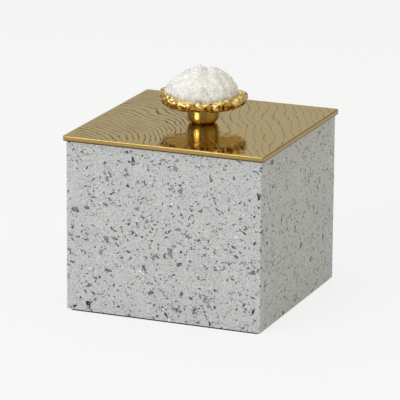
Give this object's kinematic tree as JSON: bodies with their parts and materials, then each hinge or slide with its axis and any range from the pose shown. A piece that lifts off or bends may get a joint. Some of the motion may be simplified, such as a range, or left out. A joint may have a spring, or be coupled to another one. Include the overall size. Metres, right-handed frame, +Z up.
{
  "type": "cotton pad box",
  "caption": "Square stone box with a lift-off brass lid and a gilt-edged quartz knob, for cotton pads on a dressing table or washstand.",
  "frame": {"origin": "on the standing plane, under the middle of the box", "axes": "+Z up, -Y towards the front face, +X to the right of the front face"},
  "size_m": [0.1232, 0.1232, 0.138],
  "materials": {
    "terrazzo": "pale grey slab with dark glassy chips, honed",
    "pad_rubber": "thin rubber sheet",
    "lid_brass": "polished, etched with ripple lines",
    "bumper_rubber": "matte",
    "board_wood": "painted fibreboard",
    "felt": "wool felt",
    "collar_brass": "turned, satin",
    "plated_steel": "zinc plated",
    "gilding": "rough cast resin under gold leaf",
    "quartz": "sugary white crystals"
  },
  "bodies": {
    "box": {"wall_front": "terrazzo", "wall_right": "terrazzo", "wall_back": "terrazzo", "wall_left": "terrazzo", "floor_slab": "terrazzo", "base_pad": "pad_rubber"},
    "lid": {"lid_plate": "lid_brass", "bumper_front": "bumper_rubber", "bumper_right": "bumper_rubber", "bumper_back": "bumper_rubber", "bumper_left": "bumper_rubber", "locating_board": "board_wood", "board_felt": "felt", "knob_collar": "collar_brass", "knob_stud": "plated_steel", "knob_washer": "plated_steel", "knob_nut": "plated_steel", "gilt_rim": "gilding", "crystal_cluster": "quartz"}
  },
  "joints": [
    {"name": "lid_lift", "type": "slide", "parent": "box", "child": "lid", "axis": [0, 0, 1], "range_m": [0, 0.12]}
  ]
}
